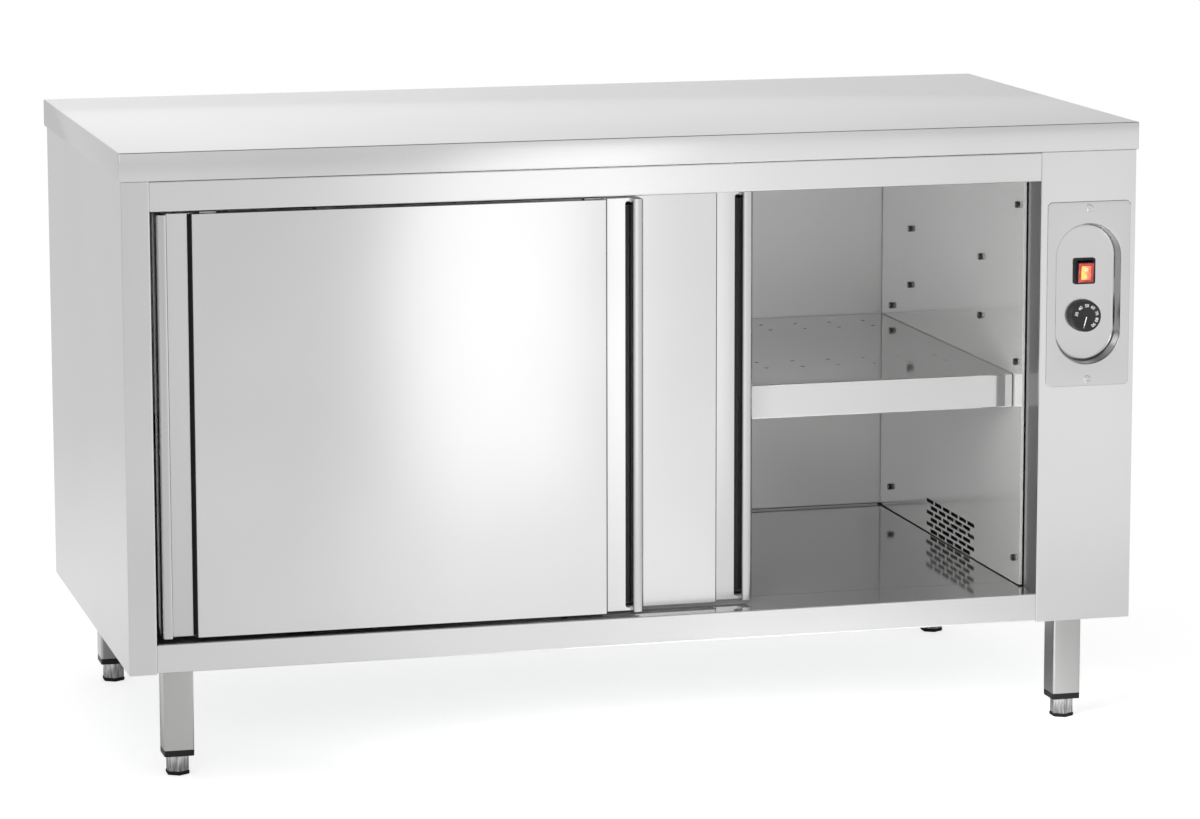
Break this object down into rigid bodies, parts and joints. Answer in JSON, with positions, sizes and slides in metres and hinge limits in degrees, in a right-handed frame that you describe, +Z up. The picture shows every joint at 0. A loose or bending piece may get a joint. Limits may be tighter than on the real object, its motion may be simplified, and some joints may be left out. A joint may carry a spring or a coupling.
{
  "type": "warming cabinet",
  "caption": "Low heated stainless steel cabinet with flat worktop, hung sliding doors, a shelf, fan-forced warm air and a side control panel.",
  "frame": {"origin": "on the floor, under the centre of the worktop", "axes": "+X along the front to the control panel's side, +Y from the doors towards the back, +Z up"},
  "size_m": [1.4, 0.7, 0.84],
  "materials": {
    "steel": "satin stainless sheet",
    "lining": "bright stainless sheet",
    "zinc": "zinc-plated steel",
    "black_plastic": "black moulded plastic",
    "foot_steel": "turned stainless steel",
    "red_lens": "translucent red, lit from behind",
    "core_board": "particle board",
    "mineral_wool": "mineral wool slab",
    "nylon": "natural nylon",
    "heater_sheath": "oxidised metal sheath"
  },
  "bodies": {
    "cabinet": {"left_side_panel": "steel", "right_side_panel": "steel", "control_fascia": "steel", "upper_rail": "steel", "lower_rail": "steel", "back_panel": "steel", "worktop": "steel", "door_track": "steel", "control_plate": "steel", "front_left_leg": "steel", "front_right_leg": "steel", "rear_left_leg": "steel", "rear_right_leg": "steel", "inner_back_wall": "lining", "inner_left_wall": "lining", "inner_right_wall": "lining", "inner_floor": "lining", "inner_ceiling": "lining", "shelf": "lining", "base_pan": "zinc", "thermostat": "zinc", "fan_housing": "zinc", "fan_motor": "zinc", "front_left_leg_plug": "black_plastic", "front_right_leg_plug": "black_plastic", "rear_left_leg_plug": "black_plastic", "rear_right_leg_plug": "black_plastic", "switch_body": "black_plastic", "cable_gland": "black_plastic", "worktop_core": "core_board", "left_insulation": "mineral_wool", "back_insulation": "mineral_wool", "floor_insulation": "mineral_wool", "door_guide": "nylon", "terminal_block": "nylon", "heating_element": "heater_sheath", "thermostat_bulb": "heater_sheath"},
    "left_door": {"left_door_skin": "steel", "left_door_liner": "lining", "left_door_core": "mineral_wool", "left_finger_trough": "black_plastic", "left_hanger_1": "zinc", "left_hanger_2": "zinc"},
    "right_door": {"right_door_skin": "steel", "right_door_liner": "lining", "right_door_core": "mineral_wool", "right_finger_trough": "black_plastic", "right_hanger_1": "zinc", "right_hanger_2": "zinc"},
    "left_wheel_1_body": {"left_wheel_1": "nylon"},
    "left_wheel_2_body": {"left_wheel_2": "nylon"},
    "right_wheel_1_body": {"right_wheel_1": "nylon"},
    "right_wheel_2_body": {"right_wheel_2": "nylon"},
    "knob": {"thermostat_knob": "black_plastic"},
    "rocker_body": {"rocker": "red_lens"},
    "impeller": {"fan_impeller": "zinc"},
    "front_left_foot_body": {"front_left_foot": "foot_steel"},
    "front_right_foot_body": {"front_right_foot": "foot_steel"},
    "rear_left_foot_body": {"rear_left_foot": "foot_steel"},
    "rear_right_foot_body": {"rear_right_foot": "foot_steel"}
  },
  "joints": [
    {"name": "left_door_slide", "type": "slide", "parent": "cabinet", "child": "left_door", "axis": [1, 0, 0], "range_m": [-0.006, 0.554]},
    {"name": "right_door_slide", "type": "slide", "parent": "cabinet", "child": "right_door", "axis": [1, 0, 0], "range_m": [-0.163, 0.387]},
    {"name": "left_wheel_1_spin", "type": "hinge", "parent": "left_door", "child": "left_wheel_1_body", "pos_m": [-0.582, -0.3145, 0.7837], "axis": [0, 1, 0], "range_deg": [-45, 3654]},
    {"name": "left_wheel_2_spin", "type": "hinge", "parent": "left_door", "child": "left_wheel_2_body", "pos_m": [-0.066, -0.3145, 0.7837], "axis": [0, 1, 0], "range_deg": [-45, 3654]},
    {"name": "right_wheel_1_spin", "type": "hinge", "parent": "right_door", "child": "right_wheel_1_body", "pos_m": [-0.42, -0.3055, 0.7837], "axis": [0, 1, 0], "range_deg": [-1079, 2554]},
    {"name": "right_wheel_2_spin", "type": "hinge", "parent": "right_door", "child": "right_wheel_2_body", "pos_m": [0.096, -0.3055, 0.7837], "axis": [0, 1, 0], "range_deg": [-1079, 2554]},
    {"name": "thermostat_turn", "type": "hinge", "parent": "cabinet", "child": "knob", "pos_m": [0.63, -0.331, 0.5733], "axis": [0, 1, 0], "range_deg": [0, 270]},
    {"name": "switch_rock", "type": "hinge", "parent": "cabinet", "child": "rocker_body", "pos_m": [0.63, -0.327, 0.635], "axis": [-1, 0, 0], "range_deg": [0, 14]},
    {"name": "fan_spin", "type": "hinge", "parent": "cabinet", "child": "impeller", "pos_m": [0.5603, -0.012, 0.3279], "axis": [1, 0, 0], "continuous": true},
    {"name": "front_left_foot_adjust", "type": "slide", "parent": "cabinet", "child": "front_left_foot_body", "axis": [0, 0, -1], "range_m": [0, 0.05]},
    {"name": "front_right_foot_adjust", "type": "slide", "parent": "cabinet", "child": "front_right_foot_body", "axis": [0, 0, -1], "range_m": [0, 0.05]},
    {"name": "rear_left_foot_adjust", "type": "slide", "parent": "cabinet", "child": "rear_left_foot_body", "axis": [0, 0, -1], "range_m": [0, 0.05]},
    {"name": "rear_right_foot_adjust", "type": "slide", "parent": "cabinet", "child": "rear_right_foot_body", "axis": [0, 0, -1], "range_m": [0, 0.05]}
  ],
  "couplings": [
    {"joint": "left_wheel_1_spin", "follows": "left_door_slide", "rad_per_m": 114.94},
    {"joint": "left_wheel_2_spin", "follows": "left_door_slide", "rad_per_m": 114.94},
    {"joint": "right_wheel_1_spin", "follows": "right_door_slide", "rad_per_m": 114.94},
    {"joint": "right_wheel_2_spin", "follows": "right_door_slide", "rad_per_m": 114.94}
  ]
}
